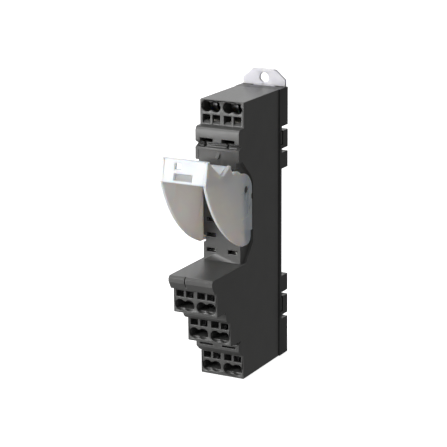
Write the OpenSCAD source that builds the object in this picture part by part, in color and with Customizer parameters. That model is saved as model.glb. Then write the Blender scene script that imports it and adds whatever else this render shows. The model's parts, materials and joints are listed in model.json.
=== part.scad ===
// Slim plug-in relay socket for a 35 mm mounting rail, with push-in wire clamps,
// a release lever and two rail hooks. Millimetres, +Z up, front towards -Y.
// Modules are drawn in the moulding frame (back plane y = 0, bottom z = 0) and
// moved so that the origin is the middle of the rail seat.

/* [Housing] */
// Height of the housing
body_h = 90; // [90:0.1:90.4]
// Width of the front case
case_w = 15.4; // [15.3:0.05:15.6]
// Width of the base cover
base_w = 16.2; // [16.1:0.05:16.4]
// Depth of the base cover
base_d = 5.8; // [5.8:0.05:6]
// Width of the relay bay between the lever cheeks
seat_w = 13.15; // [13.05:0.05:13.25]
// Thickness of the middle wall between the two poles
middle_wall = 1; // [0.9:0.05:1.1]

/* [Rail] */
// Depth of the rail channel in the back
rail_d = 4.3; // [4.2:0.05:4.4]
// Height of the rail channel
rail_h = 36.2; // [36:0.1:36.4]
// Height of the rail's centre line above the bottom
rail_z = 45.5; // [45.4:0.05:45.6]
// How far each hook reaches over the edge of the rail channel
hook_grip = 1.8; // [1.4:0.1:2]

/* [Terminals] */
// Distance of the inner wires from the middle
wire_x_inner = 2; // [1.95:0.05:2.05]
// Distance of the outer wires from the middle
wire_x_outer = 5.45; // [5.4:0.05:5.5]
// Width of a wire entry
wire_w = 2.7; // [2.4:0.05:2.75]
// Height of a wire entry
wire_h = 2.1; // [2:0.05:2.1]
// Distance from a wire entry to its release hole
release_pitch = 3.65; // [3.5:0.05:3.65]
// Radius of a release hole
release_r = 1.82; // [1.7:0.02:1.82]
// Thickness of the front wall at the terminals
front_wall = 1.2; // [1.1:0.1:1.4]

/* [Metal] */
// Thickness of a busbar
bus_t = 0.6; // [0.5:0.05:0.6]
// Thickness of a clamp spring
spring_t = 0.3; // [0.25:0.05:0.35]
// Width of a clamp spring
spring_w = 2.5; // [2.2:0.1:2.7]
// Thickness of a relay contact's leaves
leaf_t = 0.3; // [0.25:0.05:0.3]
// Width of a relay contact
contact_w = 3; // [2.8:0.1:3.1]

/* [Release lever] */
// Width over both cheeks
lever_w = 15.94; // [15.9:0.02:16]
// Thickness of a cheek
cheek_t = 1.05; // [1:0.05:1.05]
// Radius of a pivot pin
pivot_r = 1.1; // [1:0.05:1.2]
// Radial clearance of the lever on its pins
pivot_gap = 0.05; // [0.03:0.01:0.08]

/* [Hooks] */
// Width of the mounting tab
tab_w = 15.2; // [14.9:0.1:15.4]
// Thickness of the mounting tab
tab_t = 1.2; // [1.1:0.05:1.3]
// How far the tab stands above the housing
tab_h = 5.3; // [5.2:0.1:5.4]
// Radius of the screw hole
screw_r = 1.6; // [1.5:0.05:1.7]
// Travel of each hook
hook_travel = 4.5; // [4:0.1:4.5]

/* [Hidden] */
$fn = 48;
gap = 0.3;
tiny = 0.05;
case_x = case_w / 2;
base_x = base_w / 2;
seat_x = seat_w / 2;
wall_x = middle_wall / 2;
case_back = -base_d;

// The four terminal levels: front face y, wire centre z, and the side on which the
// release holes lie (1 above the wires, -1 below them)
level_names = ["top", "tier1", "tier2", "tier3"];
levels = [[-30.2, 84.2, 1], [-48.4, 31.8, -1], [-39.6, 19.9, -1], [-31.1, 6.4, -1]];
wire_x = [-wire_x_outer, -wire_x_inner, wire_x_inner, wire_x_outer];
release_x = [2.2, 5.4];
release_waist = 2.6;

// Relay contacts: rows from the lowest up, each with a contact on both sides
seat_y = -30.8;
seat_wall = 1.2;
seat_z = [38.2, 69.4];
row_names = ["row1", "row2", "row3", "coil"];
row_z = [41.6, 46.6, 51.6, 64.6];
contact_x = 3.8;
slot_w = 3.3;
slot_h = 1.3;
clip_back = -23.8;
clip_h = 0.9;

// Each level's busbar rises in a lane of its own to one row of relay contacts
lane_y = [-20.4, clip_back, -20.4, -16.4];
lane_row = [3, 0, 1, 2];

// Room for the metal inside the case
chamber_x = 7;
chamber_reach = 4.9;
shaft_x = 6.85;
shaft_y = -23;
throat_y = -25;
seat_hollow_x = 5.4;
metal_depth = 2.6;
bus_in = wire_h / 2;
bus_out = bus_in + bus_t;

// Release lever
pivot_y = -29.1;
pivot_z = 62.2;
cheek_x = [lever_w / 2 - cheek_t, lever_w / 2];
ejector_x = 6.1;
handle_z = [68.8, 76];
window_x = [-3.2, 3.2];
window_z = [69.6, 74.8];

// Rail channel and hook slides
channel_z = [rail_z - rail_h / 2, rail_z + rail_h / 2];
tongue_x = 5;
spine_x = 4;
neck_x = 3.9;
tongue_y = [-3.2, -2];
spine_end = [6.5, 84];
slide_room = 0.2;
slide_end = [spine_end[0] - hook_travel - slide_room, spine_end[1] + hook_travel + slide_room];
screw_z = body_h + 2.5;

// Snap latches on both sides of the base cover: lower and upper edge of each arm
latch_z = [[14, 20.3], [70.4, 76.2]];
latch_notch = 1.4;
latch_proud = 0.15;
window_y = [-5.3, -3.7];

// ---------- shared shapes ----------

// From the moulding frame to the part's own frame
module at_rail() {
    translate([0, rail_d, -rail_z]) children();
}

// A side outline in y and z, carried along x from x0 to x1
module slab(x0, x1) {
    translate([x0, 0, 0]) rotate([90, 0, 90]) linear_extrude(x1 - x0) children();
}

// A box given by its ranges in x, y and z
module block(x, y, z) {
    translate([x[0], y[0], z[0]]) cube([x[1] - x[0], y[1] - y[0], z[1] - z[0]]);
}

// A rectangle in the side view
module side_box(y, z) {
    translate([y[0], z[0]]) square([y[1] - y[0], z[1] - z[0]]);
}

// The same shape on both sides of the middle plane
module both_sides() {
    children();
    mirror([1, 0, 0]) children();
}

// Draws a level's side outline, given in depth behind its face and in height above
// its wires towards the release holes
module at_level(level) {
    translate([level[0], level[1]]) mirror([0, level[2] < 0 ? 1 : 0]) children();
}

// A round hole along y from y0 to y1
module hole_y(x, z, r, y0, y1) {
    translate([x, y1, z]) rotate([90, 0, 0]) cylinder(r = r, h = y1 - y0);
}

function arc(c, r, a0, a1, n = 12) =
    [for (i = [0:n]) let (a = a0 + (a1 - a0) * i / n) c + r * [cos(a), sin(a)]];

function unit(v) = v / norm(v);
function turned(v) = [-v[1], v[0]];

// Sideways step at point i of a path that keeps a strip's thickness round a bend
function mitre(p, i) =
    let (
        ahead = turned(unit(p[min(i + 1, len(p) - 1)] - p[min(i, len(p) - 2)])),
        behind = turned(unit(p[max(i, 1)] - p[max(i - 1, 0)])),
        middle = unit(ahead + behind)
    ) middle / (middle * ahead);

// Outline of a bent metal strip of thickness t along a path
function strip(p, t) = concat(
    [for (i = [0:len(p) - 1]) p[i] + mitre(p, i) * t / 2],
    [for (i = [len(p) - 1:-1:0]) p[i] - mitre(p, i) * t / 2]
);

// ---------- front case ----------

// Side outline: the stepped front with its four lips, from the top round to the bottom
case_outline = [
    [case_back, body_h], [-29.9, body_h], [-30.2, body_h - 0.3],
    [-30.2, 82], [-32.2, 82], [-33.1, 81.6], [-33.5, 80.7], [-33.5, 77.3],
    [-31.6, 76.3], [-33.5, 75.4], [-33.5, seat_z[1]],
    [seat_y, seat_z[1]], [seat_y, seat_z[0]],
    [-50.9, seat_z[0]], [-51.6, 37.5], [-51.6, 36.2], [-50.2, 33.8], [-48.4, 33.1],
    [-48.4, 25.6], [-42.6, 25.6], [-42.6, 23], [-41.6, 21.9], [-39.6, 21.1],
    [-39.6, 13.6], [-32.4, 13.3], [-34.3, 12.3], [-34.3, 10.1], [-32.6, 8.5],
    [-31.1, 7.7], [-31.1, 0], [case_back, 0]
];

// Side pocket in which a lever cheek swings
pocket_outline = [
    [-36, 71.4], [-31, 71.4], [-28.5, 68.9], [-25.6, 66.2], [-24, 63.6],
    [-24, 44], [-28.8, seat_z[0]], [-36, seat_z[0]]
];

// Hollows of one pole in the side view, behind the terminals and between the levels
module pole_hollows() {
    for (level = levels)
        at_level(level)
            side_box([front_wall, shaft_y - level[0]], [-bus_out, chamber_reach]);
    side_box([-49.5, shaft_y], [34.4, 37]);
    side_box([-41.4, shaft_y], [22.5, 25.9]);
    side_box([-31.2, shaft_y], [9, 14]);
    side_box([-30.4, shaft_y], [72.4, 81.6]);
}

module case_hollows() {
    slab(wall_x, chamber_x) pole_hollows();
    slab(wall_x, shaft_x) side_box([shaft_y - tiny, case_back + 1], [1.5, 88.6]);
    slab(wall_x, seat_hollow_x) side_box([throat_y, shaft_y + tiny], [1.5, 88.6]);
    slab(wall_x, seat_hollow_x)
        side_box([seat_y + seat_wall, shaft_y], [seat_z[0] + 1.2, seat_z[1] + 1]);
}

// One terminal: two wire entries and the double release hole beside them
module terminal_entries(level) {
    face = level[0];
    release_z = level[1] + level[2] * release_pitch;
    for (x = [wire_x_inner, wire_x_outer])
        block([x - wire_w / 2, x + wire_w / 2], [face - 1, face + front_wall + tiny],
            [level[1] - wire_h / 2, level[1] + wire_h / 2]);
    for (x = release_x)
        hole_y(x, release_z, release_r, face - 1, face + front_wall + tiny);
    block(release_x, [face - 1, face + front_wall + tiny],
        [release_z - release_waist / 2, release_z + release_waist / 2]);
}

// Sloped lead-in under each wire entry of the top level
module lead_ins() {
    for (x = [wire_x_inner, wire_x_outer])
        slab(x - wire_w / 2, x + wire_w / 2)
            polygon([[-30.4, 82.1], [-29.1, 83.2], [-30.4, 83.2]]);
}

module relay_slots() {
    for (z = row_z)
        block([contact_x - slot_w / 2, contact_x + slot_w / 2],
            [seat_y - 1, seat_y + seat_wall + tiny], [z - slot_h / 2, z + slot_h / 2]);
}

// Slots for the plug-in jumper bars, in the top lip and in the lowest lip
module jumper_slots() {
    block([1.55, 6.1], [-34, -30], [76.95, 78.4]);
    block([1.65, 6.5], [-35, -30.8], [10.95, 11.55]);
}

// Slit along the groove under the top lip, and the stems that lead to it from the slots
module groove_slit() {
    block([-6.8, 6.4], [-33.1, -32.4], [74.7, 77]);
    for (x = [-5.2, 2.75])
        block([x, x + 0.9], [-34, -31], [75.4, 77.4]);
}

// Where the lever's ejector reaches under the relay
module ejector_pocket() {
    block([ejector_x - gap, seat_x + 1], [seat_y - 1, -28.6], [44, 46.2]);
}

// Catch that snaps into a latch window of the base cover
module catches() {
    for (z = latch_z) {
        block([7, 7.55], [-8, window_y[1] - 0.2], [z[0] + 1.4, z[1] - 0.3]);
        block([7.5, 7.95], [window_y[0] + 0.3, window_y[1] - 0.2], [z[0] + 1.4, z[1] - 0.3]);
    }
}

module front_case() {
    color([0.24, 0.24, 0.235]) at_rail() {
        difference() {
            slab(-case_x, case_x) polygon(case_outline);
            both_sides() {
                case_hollows();
                for (level = levels) terminal_entries(level);
                lead_ins();
                relay_slots();
                jumper_slots();
                ejector_pocket();
                slab(seat_x, case_x + 1) polygon(pocket_outline);
            }
            groove_slit();
            // marking slit in the top of the stepped block
            block([-2.15, -1.75], [-52, -50.6], [33, 39]);
            // shallow recess for a marker on the panel
            block([-6.6, 6.1], [-34, -33.35], [69, 74.6]);
        }
        both_sides() {
            catches();
            // pivot pin of the lever
            translate([seat_x - tiny, pivot_y, pivot_z]) rotate([0, 90, 0])
                cylinder(r = pivot_r, h = cheek_x[1] - 0.15 - seat_x + tiny);
        }
        // slanted pip on the panel
        translate([0.3, 0, 73.2]) rotate([0, 20, 0]) slab(-0.55, 0.55)
            polygon([[-33.2, 1], [-33.45, 1], [-34, -0.6], [-34, -1], [-33.2, -1]]);
    }
}

// ---------- base cover ----------

// Room for a hook: wide for its tongues, narrow where its spine shows at the back
module hook_slide(z, open) {
    block([-tongue_x - gap, tongue_x + gap], [tongue_y[0] - gap, tongue_y[1] + gap], z);
    block([-spine_x - gap, spine_x + gap], [tongue_y[1], 1], open);
}

// Notches that free a latch arm, and its window
module latch_cuts(z) {
    block([6, base_x + 1], [-4.2, 1], [z[0] - latch_notch, z[0]]);
    block([6, base_x + 1], [-4.2, 1], [z[1], z[1] + latch_notch]);
    block([6.9, 7.65], [case_back - 1, window_y[1]], [z[0] + 1.2, z[1]]);
    block([7.55, base_x + 1], window_y, [z[0] + 1.2, z[1]]);
}

module base_cover() {
    // hollows beside the slides, open at the back
    relief_z = [[1.2, 11.6], [23, 26.4], [64.6, 68.2], [78.6, 88.8]];
    color([0.2, 0.2, 0.2]) at_rail() difference() {
        union() {
            difference() {
                slab(-base_x, base_x) side_box([case_back, 0], [0, body_h]);
                slab(-base_x - 1, base_x + 1) side_box([-rail_d, 1], channel_z);
            }
            both_sides() {
                // rim that centres the case
                block([6, 6.75], [case_back - 1.1, case_back + tiny], [2, 88]);
                for (z = latch_z)
                    block([base_x - 0.5, base_x + latch_proud], [case_back + 0.3, -0.3], z);
            }
        }
        hook_slide([slide_end[0], channel_z[0] + tiny], [-1, channel_z[0] + tiny]);
        hook_slide([channel_z[1] - tiny, slide_end[1]], [channel_z[1] - tiny, body_h + 1]);
        both_sides() {
            for (z = latch_z) latch_cuts(z);
            for (z = relief_z) block([6.3, 7.3], [-4.6, 1], z);
        }
    }
}

// ---------- release lever ----------

// Side outline of a cheek: handle end, sweeping front edge, tail, back, ear and valley
cheek_outline = concat(
    arc([-53.7, 75.5], 0.5, 90, 168, 4),
    arc([-17.2, 82.1], 40.5, 198.8, 249, 24),
    arc([-27.6, 46.6], 2.55, 250, 360, 10),
    [[-25.1, 58.4], [-25.6, 58.8], [-25.6, 59.9], [-25.15, 60.3]],
    arc([-31.6, 61.2], 6.55, 12, 92, 12),
    [[-34.6, 69.2], [-36.6, 69.5], [-37.7, 68.8]],
    arc([-39.9, 71.2], 0.9, -20, 125, 6),
    [[-43.2, 70.2], [-44.2, 69.9], [-45.5, 70.1], [-50.9, 73.9], [-52.6, 75.6]]
);

// Depth of the relief in a cheek's outer face, and the outlines of its parts: a hollow
// that deepens towards the rear rim, a dimple under the pivot and a thinned tail corner
relief = 0.4;
hollow_outline = concat(
    [[-33.5, 61.4], [-27.3, 61.4]],
    arc([-30.3, 56.2], 3, 0, -90, 8),
    [[-33.5, 53.2]]
);
dimple_outline = arc([-29.8, 59.9], 1.1, 0, 330, 11);
corner_outline = [[-33.4, 49.6], [-24.5, 48.3], [-24.5, 43], [-27.2, 43]];

// Trough floor behind the handle and the thumb web behind it
web_outline = [
    [-54.6, 69.6], [-47, 69.4], [-45.9, 69.7], [-40.1, 72], [-39.6, 71.4],
    [-45.6, 68.8], [-46.8, 68.5], [-54.8, 68.7]
];

handle_outline = [[-53.9, handle_z[1]], [-55.5, 69.2], [-55.4, handle_z[0]],
    [-54, handle_z[0]], [-52.6, handle_z[1]]];

module handle() {
    difference() {
        slab(-cheek_x[1], cheek_x[1]) polygon(handle_outline);
        block(window_x, [-57, -51], window_z);
    }
    // bar and marking plate in the window
    slab(window_x[0] - tiny, window_x[1] + tiny)
        polygon([[-54.55, 72.9], [-54.83, 71.7], [-53.5, 71.7], [-53.2, 72.9]]);
    slab(-1.2, window_x[1] + tiny)
        polygon([[-54, 75.6], [-54.6, 72.6], [-53.5, 72.6], [-52.9, 75.6]]);
}

// Relief of a cheek's outer face
module cheek_relief() {
    // floors that slope down towards the rear, cut to the outlines above
    intersection() {
        slab(cheek_x[1] - 1, cheek_x[1] + 1) polygon(hollow_outline);
        translate([0, 0, 50]) linear_extrude(15)
            polygon([[cheek_x[1], -33.5], [cheek_x[1] - relief, -27.3],
                [cheek_x[1] + 1, -27.3], [cheek_x[1] + 1, -33.5]]);
    }
    intersection() {
        slab(cheek_x[1] - 1, cheek_x[1] + 1) polygon(corner_outline);
        translate([0, 0, 40]) linear_extrude(12)
            polygon([[cheek_x[1] - 0.1, -33.5], [cheek_x[1] - relief - 0.2, -24.5],
                [cheek_x[1] + 1, -24.5], [cheek_x[1] + 1, -33.5]]);
    }
    slab(cheek_x[1] - relief - 0.1, cheek_x[1] + 1) polygon(dimple_outline);
}

module release_lever() {
    color([0.93, 0.93, 0.91]) at_rail() {
        both_sides() difference() {
            union() {
                slab(cheek_x[0], cheek_x[1]) polygon(cheek_outline);
                // ejector that lifts the relay off its seat
                block([ejector_x, cheek_x[0] + tiny], [-30.6, -29.2], [44.6, 45.4]);
            }
            cheek_relief();
            translate([cheek_x[0] - 1, pivot_y, pivot_z]) rotate([0, 90, 0])
                cylinder(r = pivot_r + pivot_gap, h = cheek_t + 2);
        }
        slab(-cheek_x[0] - tiny, cheek_x[0] + tiny) polygon(web_outline);
        handle();
    }
}

// ---------- rail hooks ----------

// Sliding part of a hook between heights z0 and z1, with a springy detent finger
module hook_slider(z0, z1) {
    difference() {
        union() {
            block([-spine_x, spine_x], [tongue_y[0], -0.1], [z0, z1]);
            block([-tongue_x, tongue_x], tongue_y, [z0, z1]);
        }
        both_sides() block([1.3, 1.8], [-4, 1], [z0 + 6, z1 - 6]);
        block([-1.8, 1.8], [-4, 1], [z1 - 6.5, z1 - 6]);
    }
}

module upper_hook() {
    tab_outline = concat(
        [[tab_w / 2, body_h + tiny]],
        arc([tab_w / 2 - 0.8, body_h + 1.8], 0.8, 0, 45, 4),
        arc([3.4, body_h + tab_h - 1.6], 1.6, 45, 90, 5),
        arc([-3.4, body_h + tab_h - 1.6], 1.6, 90, 135, 5),
        arc([0.8 - tab_w / 2, body_h + 1.8], 0.8, 135, 180, 4),
        [[-tab_w / 2, body_h + tiny]]
    );
    color([0.86, 0.86, 0.9]) at_rail() difference() {
        union() {
            hook_slider(channel_z[1] - hook_grip, spine_end[1]);
            block([-neck_x, neck_x], [-tab_t, 0], [spine_end[1] - tiny, body_h + 1]);
            rotate([90, 0, 0]) linear_extrude(tab_t) polygon(tab_outline);
        }
        hole_y(0, screw_z, screw_r, -tab_t - 1, 1);
        // ramp that lets the hook ride over the rail's edge
        slab(-tongue_x - 1, tongue_x + 1)
            polygon([[0.1, 61], [0.1, 64], [-2.2, channel_z[1] - hook_grip], [-2.2, 61]]);
    }
}

module lower_hook() {
    tab_outline = concat(
        arc([neck_x - 1.2, 1.7], 1.2, -90, 0, 6),
        [[neck_x, spine_end[0] + 1], [-neck_x, spine_end[0] + 1]],
        arc([1.2 - neck_x, 1.7], 1.2, 180, 270, 6)
    );
    color([0.86, 0.86, 0.9]) at_rail() difference() {
        union() {
            hook_slider(spine_end[0], channel_z[0] + hook_grip);
            rotate([90, 0, 0]) linear_extrude(tab_t) polygon(tab_outline);
        }
        hole_y(0, 3.6, screw_r, -tab_t - 1, 1);
        slab(-tongue_x - 1, tongue_x + 1)
            polygon([[0.1, 30], [0.1, 27], [-2.2, channel_z[0] + hook_grip], [-2.2, 30]]);
    }
}

// ---------- metal ----------

// Wide clamp plate under both wires, a tail to the lane and a riser to the contact
module busbar(index) {
    level = levels[index];
    lane = lane_y[index];
    target = row_z[lane_row[index]];
    up = target > level[1] ? 1 : -1;
    flat = level[1] - level[2] * (bus_in + bus_t / 2);
    plate_y = level[0] + metal_depth;
    half = contact_w / 2;
    color([0.78, 0.72, 0.58]) at_rail() {
        slab(contact_x - 3, contact_x + 2.9)
            side_box([plate_y, level[0] + 12], [flat - bus_t / 2, flat + bus_t / 2]);
        slab(contact_x - half, contact_x + half) {
            side_box([level[0] + 11, lane + bus_t], [flat - bus_t / 2, flat + bus_t / 2]);
            side_box([lane, lane + bus_t],
                [min(flat, target) - bus_t / 2, max(flat, target) + bus_t / 2]);
            side_box([clip_back, lane + bus_t], [target - bus_t / 2, target + bus_t / 2]);
        }
    }
}

// Fork that grips one flat blade of the relay
module relay_contact(z) {
    path = [
        [-29.3, clip_h], [-27.9, 0.3], [-27.1, 0.3], [-25, clip_h - 0.15],
        [clip_back - leaf_t / 2, clip_h - 0.15], [clip_back - leaf_t / 2, 0.15 - clip_h],
        [-25, 0.15 - clip_h], [-27.1, -0.3], [-27.9, -0.3], [-29.3, -clip_h]
    ];
    color([0.88, 0.88, 0.86]) at_rail()
        slab(contact_x - contact_w / 2, contact_x + contact_w / 2)
            translate([0, z]) polygon(strip(path, leaf_t));
}

// Leaf clamp: foot on the busbar, stem, loop under the release hole, and the leg
// that presses the wire against the busbar
module clamp_spring(level, x) {
    rest = spring_t / 2 - bus_in;
    path = concat(
        [[8.2, rest + 0.15]],
        arc([6.1, 3.3], 1.15, 220, 30, 10),
        [[9.7, rest], [10.9, rest]]
    );
    color([0.74, 0.75, 0.77]) at_rail()
        slab(x - spring_w / 2, x + spring_w / 2)
            at_level(level) polygon(strip(path, spring_t));
}

// ---------- assembly ----------

front_case();
base_cover();
release_lever();
upper_hook();
lower_hook();

for (i = [0:3]) {
    busbar(i);
    mirror([1, 0, 0]) busbar(i);
    relay_contact(row_z[i]);
    mirror([1, 0, 0]) relay_contact(row_z[i]);
    for (j = [0:3])
        clamp_spring(levels[i], wire_x[j]);
}
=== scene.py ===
import json
import math

import bmesh
import bpy
import numpy as np
from mathutils import Matrix, Vector

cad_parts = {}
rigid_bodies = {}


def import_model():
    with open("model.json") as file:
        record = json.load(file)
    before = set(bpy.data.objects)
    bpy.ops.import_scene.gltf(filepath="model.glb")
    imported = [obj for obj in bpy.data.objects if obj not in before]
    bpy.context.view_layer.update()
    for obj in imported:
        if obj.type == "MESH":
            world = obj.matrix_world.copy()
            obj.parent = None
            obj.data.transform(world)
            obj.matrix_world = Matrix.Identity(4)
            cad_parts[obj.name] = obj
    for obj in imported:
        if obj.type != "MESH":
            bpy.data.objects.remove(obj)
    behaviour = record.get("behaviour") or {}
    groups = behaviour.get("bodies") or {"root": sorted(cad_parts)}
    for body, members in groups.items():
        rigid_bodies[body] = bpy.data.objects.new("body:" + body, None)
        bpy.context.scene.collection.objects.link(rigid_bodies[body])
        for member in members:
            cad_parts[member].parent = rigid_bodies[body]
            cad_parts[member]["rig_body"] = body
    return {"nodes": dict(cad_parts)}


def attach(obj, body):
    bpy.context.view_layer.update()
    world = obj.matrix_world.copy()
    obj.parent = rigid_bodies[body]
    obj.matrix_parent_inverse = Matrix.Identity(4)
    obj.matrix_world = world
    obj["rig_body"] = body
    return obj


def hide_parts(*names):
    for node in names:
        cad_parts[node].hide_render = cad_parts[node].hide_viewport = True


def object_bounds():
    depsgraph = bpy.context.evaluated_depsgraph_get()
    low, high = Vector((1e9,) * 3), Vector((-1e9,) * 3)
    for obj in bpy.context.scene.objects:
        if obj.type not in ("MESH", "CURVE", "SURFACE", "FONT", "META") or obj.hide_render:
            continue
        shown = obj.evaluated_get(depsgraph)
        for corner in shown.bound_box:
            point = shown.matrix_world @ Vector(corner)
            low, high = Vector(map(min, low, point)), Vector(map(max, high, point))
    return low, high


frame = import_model()
bpy.context.view_layer.update()
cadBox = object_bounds()
scene = bpy.context.scene
mm = 0.001
print("frame loaded:", len(frame["nodes"]), "solids")


# the view, the floor and the lights

view = {
    "place": (0.256835, -0.504603, 0.151635),
    "yaw": 28.182,  # degrees round the part, from the front towards its right
    "pitch": 15.099,  # degrees looking down
    "roll": -0.406,
    "lens": 143.6,
    "sensor": 36.0,
    "seen": (0.01, 20),  # nearest and furthest distance drawn
}


def makeCamera():
    # the camera's own axes: right, up and back, from yaw, pitch and roll
    yaw, pitch, roll = (math.radians(view[k]) for k in ("yaw", "pitch", "roll"))
    flat = math.cos(pitch)
    back = Vector((math.sin(yaw) * flat, -math.cos(yaw) * flat, math.sin(pitch)))
    level = Vector((math.cos(yaw), math.sin(yaw), 0))
    rise = back.cross(level)
    right = level * math.cos(roll) + rise * math.sin(roll)
    up = rise * math.cos(roll) - level * math.sin(roll)
    data = bpy.data.cameras.new("camera")
    data.lens, data.sensor_width = view["lens"], view["sensor"]
    data.clip_start, data.clip_end = view["seen"]
    camera = bpy.data.objects.new("camera", data)
    scene.collection.objects.link(camera)
    turn = Matrix((right, up, back)).transposed().to_4x4()
    camera.matrix_world = Matrix.Translation(view["place"]) @ turn
    scene.camera = camera


room = {
    "floorReach": 1.6,
    "floorGap": 0.2 * mm,  # between the floor and the foot
    "floorTone": (0.9, 0.9, 0.9),
    "floorRough": 0.9,
    "floorShine": 0.1,
    "floorGlow": 0.9,
    "dimAir": 0.2,  # light from all round
    "brightAir": 0.05,  # added on the side that the window is on
    "brightSide": (-0.62, -0.52, 0.58),
    "brightFrom": -0.3,  # how far past square to that side its light still reaches
}

lamps = {  # place, what it is turned to, size across, power
    "keyLeft": ((-0.5, -0.8, 0.5), (0, -0.02, 0.0), (0.6, 0.6), 3.5),
    "overhead": ((-0.2, -0.2, 0.9), (0, -0.02, 0.0), (0.7, 0.7), 2.6),
    "backLeft": ((-0.5, 0.8, 0.4), (0, -0.02, 0.02), (0.7, 0.5), 1.3),
    "lowFront": ((-0.5, -0.8, 0.05), (0, -0.02, 0.0), (0.6, 0.3), 6.0),
}


def makeFloor():
    reach = room["floorReach"]
    z = cadBox[0].z - room["floorGap"]
    mesh = bpy.data.meshes.new("floor")
    corners = [(-reach, -reach, z), (reach, -reach, z), (reach, reach, z), (-reach, reach, z)]
    mesh.from_pydata(corners, [], [(0, 1, 2, 3)])
    floor = bpy.data.objects.new("floor", mesh)
    scene.collection.objects.link(floor)
    paint = bpy.data.materials.new("floor_paint")
    paint.use_nodes = True
    shader = paint.node_tree.nodes["Principled BSDF"]
    shader.inputs["Base Color"].default_value = (*room["floorTone"], 1)
    shader.inputs["Roughness"].default_value = room["floorRough"]
    shader.inputs["Specular IOR Level"].default_value = room["floorShine"]
    shader.inputs["Emission Color"].default_value = (1, 1, 1, 1)
    shader.inputs["Emission Strength"].default_value = room["floorGlow"]
    mesh.materials.append(paint)
    floor.visible_diffuse = floor.visible_glossy = False  # the part isn't lit from below


def makeLamps():
    for name, (place, target, size, power) in lamps.items():
        data = bpy.data.lights.new(name, "AREA")
        data.shape, data.size, data.size_y = "RECTANGLE", size[0], size[1]
        data.energy = power
        lamp = bpy.data.objects.new(name, data)
        scene.collection.objects.link(lamp)
        lamp.location = place
        lamp.rotation_euler = (Vector(target) - Vector(place)).to_track_quat("-Z", "Y").to_euler()


def makeAir():
    air = bpy.data.worlds.new("air")
    air.use_nodes = True
    tree = air.node_tree
    background = tree.nodes["Background"]
    background.inputs["Color"].default_value = (1, 1, 1, 1)
    heading = tree.nodes.new("ShaderNodeTexCoord")
    facing = tree.nodes.new("ShaderNodeVectorMath")
    facing.operation = "DOT_PRODUCT"
    facing.inputs[1].default_value = Vector(room["brightSide"]).normalized()
    share = tree.nodes.new("ShaderNodeMapRange")
    share.interpolation_type = "SMOOTHSTEP"
    share.inputs["From Min"].default_value = room["brightFrom"]
    share.inputs["To Min"].default_value = room["dimAir"]
    share.inputs["To Max"].default_value = room["dimAir"] + room["brightAir"]
    tree.links.new(heading.outputs["Generated"], facing.inputs[0])
    tree.links.new(facing.outputs["Value"], share.inputs["Value"])
    tree.links.new(share.outputs["Result"], background.inputs["Strength"])
    scene.world = air
    scene.view_settings.view_transform = "Standard"


makeCamera()
makeFloor()
makeLamps()
makeAir()
print("camera, floor and lamps made")


# effects that several finishes share

mouldGrain = {  # noise scales in waves per metre, and how strongly each one shows
    "cloudScale": 140.0,
    "cloudGain": 2.4,
    "cloudFrom": -0.7,
    # the next noise breaks up the painted highlight along the plastic rims, and varies their roughness
    "highlightAndMattScale": 1400.0,
    "rimHighlightGain": 1.2,
    "rimHighlightFrom": 0.3,
    "rimPolish": 0.1,
}
rolledGrain = {
    "acrossLines": (12.0, 1.0, 1.0),  # squeezed across the strip, so that the lines run along it
    "lineScale": 900.0,
    "lineGain": 0.25,
    "cloudScale": 500.0,
    "cloudGain": 2.0,
    "cloudFrom": -0.6,
    "rimShare": 0.7,
}
plainGrey = (0.5, 0.5, 0.5, 1)


def newGroup(name, inputs, outputs):
    # an empty shader group with its named sockets; returns the group, its input and its output node
    group = bpy.data.node_groups.new(name, "ShaderNodeTree")
    for label, kind, value in inputs:
        socket = group.interface.new_socket(name=label, in_out="INPUT", socket_type=kind)
        if value is not None:
            socket.default_value = value
    for label, kind in outputs:
        group.interface.new_socket(name=label, in_out="OUTPUT", socket_type=kind)
    return group, group.nodes.new("NodeGroupInput"), group.nodes.new("NodeGroupOutput")


def setOrLink(tree, socket, value):
    # a plain value is set on the socket, and another node's output is linked to it
    if isinstance(value, (int, float, tuple)):
        socket.default_value = value
    else:
        tree.links.new(value, socket)


def addNoise(tree, place, scale, detail=2.0, rough=0.5):
    noise = tree.nodes.new("ShaderNodeTexNoise")
    noise.inputs["Detail"].default_value = detail
    noise.inputs["Roughness"].default_value = rough
    tree.links.new(place, noise.inputs["Vector"])
    setOrLink(tree, noise.inputs["Scale"], scale)
    return noise.outputs["Fac"]


def addMath(tree, operation, *values):
    node = tree.nodes.new("ShaderNodeMath")
    node.operation = operation
    for socket, value in zip(node.inputs, values):
        setOrLink(tree, socket, value)
    return node.outputs[0]


def addMix(tree, share, first, second):
    # the node's sockets 0, 6 and 7 are the share and the two colours, and output 2 is the mixed colour
    node = tree.nodes.new("ShaderNodeMix")
    node.data_type = "RGBA"
    for number, value in ((0, share), (6, first), (7, second)):
        setOrLink(tree, node.inputs[number], value)
    return node.outputs[2]


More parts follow.
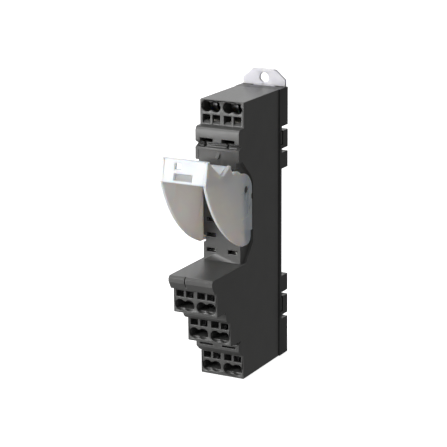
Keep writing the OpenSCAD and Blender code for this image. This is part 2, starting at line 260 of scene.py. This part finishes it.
def makeMouldedSkin():
    # moulded plastic: cloudy tone, a painted highlight along the rounded rims (a paler tone there, with
    # lower roughness), and the fine grain of the mould
    inputs = [
        ("Place", "NodeSocketVector", None),
        ("Rim", "NodeSocketFloat", 0.0),
        ("Tone", "NodeSocketColor", plainGrey),
        ("Cloud Tone", "NodeSocketColor", plainGrey),
        ("Rim Tone", "NodeSocketColor", plainGrey),
        ("Rim Share", "NodeSocketFloat", 0.5),
        ("Grain Scale", "NodeSocketFloat", 9000.0),
        ("Matt", "NodeSocketFloat", 0.5),
        ("Matt Spread", "NodeSocketFloat", 0.1),
    ]
    outputs = [("Tone", "NodeSocketColor"), ("Roughness", "NodeSocketFloat"), ("Height", "NodeSocketFloat")]
    group, given, made = newGroup("mouldedSkin", inputs, outputs)
    grain = mouldGrain
    place = given.outputs["Place"]
    cloud = addNoise(group, place, grain["cloudScale"], 3.0)
    highlightAndMattNoise = addNoise(group, place, grain["highlightAndMattScale"], 3.0, 0.6)
    fine = addNoise(group, place, given.outputs["Grain Scale"], 1.5)
    cloudShare = addMath(group, "MULTIPLY_ADD", cloud, grain["cloudGain"], grain["cloudFrom"])
    body = addMix(group, cloudShare, given.outputs["Tone"], given.outputs["Cloud Tone"])
    # painted highlight: the rounded rims are lightened towards Rim Tone, broken up by the noise
    rimHighlightBreakup = addMath(group, "MULTIPLY_ADD", highlightAndMattNoise, grain["rimHighlightGain"], grain["rimHighlightFrom"])
    paintedRimHighlight = addMath(group, "MULTIPLY", given.outputs["Rim"], rimHighlightBreakup)
    rimShare = addMath(group, "MINIMUM", addMath(group, "MULTIPLY", paintedRimHighlight, given.outputs["Rim Share"]), 1.0)
    tone = addMix(group, rimShare, body, given.outputs["Rim Tone"])
    wave = addMath(group, "SUBTRACT", highlightAndMattNoise, 0.5)
    rough = addMath(group, "MULTIPLY_ADD", wave, given.outputs["Matt Spread"], given.outputs["Matt"])
    rough = addMath(group, "SUBTRACT", rough, addMath(group, "MULTIPLY", rimShare, grain["rimPolish"]))
    for label, value in (("Tone", tone), ("Roughness", rough), ("Height", fine)):
        group.links.new(value, made.inputs[label])
    return group


def makeDrawnMetal():
    # rolled strip: fine lines along the strip, cloudy plating and bright cut rims
    inputs = [
        ("Place", "NodeSocketVector", None),
        ("Rim", "NodeSocketFloat", 0.0),
        ("Tone", "NodeSocketColor", plainGrey),
        ("Stain", "NodeSocketColor", plainGrey),
        ("Rim Tone", "NodeSocketColor", plainGrey),
        ("Matt", "NodeSocketFloat", 0.3),
    ]
    outputs = [("Tone", "NodeSocketColor"), ("Roughness", "NodeSocketFloat"), ("Height", "NodeSocketFloat")]
    group, given, made = newGroup("drawnMetal", inputs, outputs)
    grain = rolledGrain
    stretch = group.nodes.new("ShaderNodeMapping")
    stretch.inputs["Scale"].default_value = grain["acrossLines"]
    group.links.new(given.outputs["Place"], stretch.inputs["Vector"])
    lines = addNoise(group, stretch.outputs["Vector"], grain["lineScale"], 3.0, 0.6)
    cloud = addNoise(group, given.outputs["Place"], grain["cloudScale"], 2.0)
    stain = addMath(group, "MULTIPLY_ADD", cloud, grain["cloudGain"], grain["cloudFrom"])
    tone = addMix(group, stain, given.outputs["Tone"], given.outputs["Stain"])
    rimShare = addMath(group, "MULTIPLY", given.outputs["Rim"], grain["rimShare"])
    tone = addMix(group, rimShare, tone, given.outputs["Rim Tone"])
    rough = addMath(group, "MULTIPLY_ADD", lines, grain["lineGain"], given.outputs["Matt"])
    for label, value in (("Tone", tone), ("Roughness", rough), ("Height", lines)):
        group.links.new(value, made.inputs[label])
    return group


effects = {"plastic": makeMouldedSkin(), "metal": makeDrawnMetal()}
print("shared effects made:", len(effects))


# the finishes, one for each material slot

# effect: the group; look: its values; bump: strength and height in metres;
# shader: values set on the shader itself
finishTable = {
    "case_plastic": {
        "name": "casePlasticFinish",
        "effect": "plastic",
        "look": {
            "Tone": (0.09, 0.09, 0.088),
            "Cloud Tone": (0.1, 0.1, 0.097),
            # Rim Tone: painted highlight on the rounded edges, paler than the body
            "Rim Tone": (0.3, 0.3, 0.3),
            "Rim Share": 0.55,
            "Grain Scale": 9000.0,
            "Matt": 0.36,
            "Matt Spread": 0.1,
        },
        "bump": (0.35, 0.03 * mm),
        "shader": {"IOR": 1.48},
    },
    "base_plastic": {
        "name": "basePlasticFinish",
        "effect": "plastic",
        "look": {
            "Tone": (0.032, 0.032, 0.032),
            "Cloud Tone": (0.036, 0.036, 0.036),
            # Rim Tone: painted highlight on the rounded edges, paler than the body
            "Rim Tone": (0.12, 0.12, 0.12),
            "Rim Share": 0.5,
            "Grain Scale": 9000.0,
            "Matt": 0.36,
            "Matt Spread": 0.1,
        },
        "bump": (0.35, 0.03 * mm),
        "shader": {"IOR": 1.48},
    },
    "lever_plastic": {  # light goes through its thin walls, red the furthest
        "name": "leverPlasticFinish",
        "effect": "plastic",
        "look": {
            "Tone": (0.93, 0.925, 0.92),
            "Cloud Tone": (0.95, 0.945, 0.94),
            # Rim Tone: painted highlight on the rounded edges, paler than the body
            "Rim Tone": (0.97, 0.97, 0.97),
            "Rim Share": 0.8,
            "Grain Scale": 12000.0,
            "Matt": 0.42,
            "Matt Spread": 0.1,
        },
        "bump": (0.15, 0.02 * mm),
        "shader": {
            "Subsurface Weight": 1.0,
            "Subsurface Radius": (1.0, 0.75, 0.55),
            "Subsurface Scale": 3 * mm,
        },
    },
    "hook_plastic": {
        "name": "hookPlasticFinish",
        "effect": "plastic",
        "look": {
            "Tone": (0.76, 0.75, 0.82),
            "Cloud Tone": (0.79, 0.78, 0.84),
            # Rim Tone: painted highlight on the rounded edges, paler than the body
            "Rim Tone": (0.9, 0.9, 0.94),
            "Rim Share": 0.7,
            "Grain Scale": 12000.0,
            "Matt": 0.38,
            "Matt Spread": 0.1,
        },
        "bump": (0.15, 0.02 * mm),
        "shader": {
            "Subsurface Weight": 0.6,
            "Subsurface Radius": (0.85, 0.85, 1.0),
            "Subsurface Scale": 3 * mm,
        },
    },
    "busbar_metal": {
        "name": "busbarFinish",
        "effect": "metal",
        "look": {
            "Tone": (0.62, 0.6, 0.55),
            "Stain": (0.5, 0.47, 0.42),
            "Rim Tone": (0.7, 0.5, 0.34),  # the bare copper of the cut edges
            "Matt": 0.25,
        },
        "bump": (0.2, 0.02 * mm),
        "shader": {"Metallic": 1.0},
    },
    "contact_metal": {
        "name": "contactFinish",
        "effect": "metal",
        "look": {
            "Tone": (0.86, 0.86, 0.85),
            "Stain": (0.74, 0.74, 0.72),
            "Rim Tone": (0.92, 0.92, 0.9),
            "Matt": 0.2,
        },
        "bump": (0.2, 0.02 * mm),
        "shader": {"Metallic": 1.0},
    },
    "spring_steel": {
        "name": "springFinish",
        "effect": "metal",
        "look": {
            "Tone": (0.3, 0.3, 0.31),
            "Stain": (0.22, 0.22, 0.22),
            "Rim Tone": (0.45, 0.45, 0.46),
            "Matt": 0.4,
        },
        "bump": (0.2, 0.02 * mm),
        "shader": {"Metallic": 1.0},
    },
}


def makeFinish(recipe):
    # a material whose tone, roughness and fine relief come from its placed effect
    finish = bpy.data.materials.new(recipe["name"])
    finish.use_nodes = True
    tree = finish.node_tree
    shader = tree.nodes["Principled BSDF"]
    effect = tree.nodes.new("ShaderNodeGroup")
    effect.node_tree = effects[recipe["effect"]]
    spot = tree.nodes.new("ShaderNodeTexCoord")
    rim = tree.nodes.new("ShaderNodeAttribute")
    rim.attribute_name = "rim"
    tree.links.new(spot.outputs["Object"], effect.inputs["Place"])
    tree.links.new(rim.outputs["Fac"], effect.inputs["Rim"])
    for label, value in recipe["look"].items():
        effect.inputs[label].default_value = (*value, 1) if isinstance(value, tuple) else value
    relief = tree.nodes.new("ShaderNodeBump")
    relief.inputs["Strength"].default_value, relief.inputs["Distance"].default_value = recipe["bump"]
    tree.links.new(effect.outputs["Height"], relief.inputs["Height"])
    tree.links.new(relief.outputs["Normal"], shader.inputs["Normal"])
    tree.links.new(effect.outputs["Tone"], shader.inputs["Base Color"])
    tree.links.new(effect.outputs["Roughness"], shader.inputs["Roughness"])
    for label, value in recipe["shader"].items():
        shader.inputs[label].default_value = value
    return finish


finishes = {slotName: makeFinish(recipe) for slotName, recipe in finishTable.items()}
print("finishes made:", ", ".join(finishes))


# the moulded and bent parts, with their edges rounded

softening = {  # slot: radius of the edges, segments round an edge
    "case_plastic": (0.14 * mm, 2),
    "base_plastic": (0.14 * mm, 2),
    "lever_plastic": (0.22 * mm, 3),
    "hook_plastic": (0.15 * mm, 2),
    "busbar_metal": (0.05 * mm, 2),
    "contact_metal": (0.05 * mm, 2),
    "spring_steel": (0.04 * mm, 2),
}
edgeRule = {
    "mergeWithin": 0.001 * mm,
    "sharpFrom": 28,  # degrees between two faces, from which their edge is rounded
    "alongFrom": 30,  # an edge that turns less than this goes on along the same rim
    "roomShare": 0.42,  # how much of the shortest edge beside it a rounding may take
    "shadedFlatFrom": 40,  # degrees between two faces, from which the shading breaks
}


def roundingWeights(bm, radius):
    # each sharp outward edge gets the share of the radius that its neighbours leave room for
    weight = bm.edges.layers.float.new("bevel_weight_edge")
    sharpFrom = math.radians(edgeRule["sharpFrom"])
    along = math.cos(math.radians(edgeRule["alongFrom"]))
    sharp = {e for e in bm.edges if len(e.link_faces) == 2 and e.calc_face_angle(0) > sharpFrom}
    for e in sharp:
        if not e.is_convex:
            continue
        roomLeft = radius / edgeRule["roomShare"]
        for v in e.verts:
            way = (e.other_vert(v).co - v.co).normalized()
            for other in v.link_edges:
                if other is e or other not in sharp:
                    continue
                turn = (other.other_vert(v).co - v.co).normalized().dot(way)
                if abs(turn) < along:
                    roomLeft = min(roomLeft, other.calc_length())
        e[weight] = min(1.0, roomLeft * edgeRule["roomShare"] / radius)


def bevelledMesh(node, slotName):
    # the solid's mesh with its doubles merged and its outward edges rounded;
    # the faces of the roundings have material 1 and all others material 0
    radius, segments = softening[slotName]
    draft = bpy.data.meshes.new(node + "_draft")
    bm = bmesh.new()
    bm.from_mesh(frame["nodes"][node].data)
    bmesh.ops.remove_doubles(bm, verts=bm.verts, dist=edgeRule["mergeWithin"])
    roundingWeights(bm, radius)
    bm.to_mesh(draft)
    bm.free()
    draft.materials.clear()
    for number in range(2):
        draft.materials.append(finishes[slotName])
    holder = bpy.data.objects.new(node + "_draft", draft)
    scene.collection.objects.link(holder)
    rounding = holder.modifiers.new("rounding", "BEVEL")
    rounding.limit_method = "WEIGHT"
    rounding.width = radius
    rounding.segments = segments
    rounding.use_clamp_overlap = False
    rounding.material = 1
    bpy.context.view_layer.update()
    graph = bpy.context.evaluated_depsgraph_get()
    mesh = bpy.data.meshes.new_from_object(holder.evaluated_get(graph))
    bpy.data.objects.remove(holder)
    mesh.name = node + "_shown"
    return mesh


def markRim(mesh):
    # rim is 1 along the middle of each rounding, on the points that touch no other face; on the plastics it
    # places the painted rim highlight
    faces, corners = len(mesh.polygons), len(mesh.loops)
    inRounding, sides = np.zeros(faces, np.int32), np.zeros(faces, np.int32)
    points = np.zeros(corners, np.int32)
    mesh.polygons.foreach_get("material_index", inRounding)
    mesh.polygons.foreach_get("loop_total", sides)
    mesh.loops.foreach_get("vertex_index", points)
    rim = np.zeros(len(mesh.vertices), np.float32)
    rim[points[np.repeat(inRounding == 1, sides)]] = 1.0
    rim[points[np.repeat(inRounding == 0, sides)]] = 0.0
    mesh.attributes.new("rim", "FLOAT", "POINT").data.foreach_set("value", rim)
    mesh.polygons.foreach_set("material_index", np.zeros(faces, np.int32))
    mesh.materials.pop(index=1)


def roundedCopy(node):
    # the piece shown in place of one solid, on the solid's body and in its slot
    solid = frame["nodes"][node]
    slotName = solid.data.materials[0].name.split(".")[0]
    mesh = bevelledMesh(node, slotName)
    markRim(mesh)
    mesh.polygons.foreach_set("use_smooth", np.ones(len(mesh.polygons), bool))
    mesh.set_sharp_from_angle(angle=math.radians(edgeRule["shadedFlatFrom"]))
    piece = bpy.data.objects.new(node + "_shown", mesh)
    scene.collection.objects.link(piece)
    evened = piece.modifiers.new("evened", "WEIGHTED_NORMAL")
    evened.keep_sharp = True
    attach(piece, solid["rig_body"])
    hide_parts(node)
    return piece


shown = {node: roundedCopy(node) for node in sorted(frame["nodes"])}
print("rounded copies made:", len(shown))


# bring the scene up to date

bpy.context.view_layer.update()
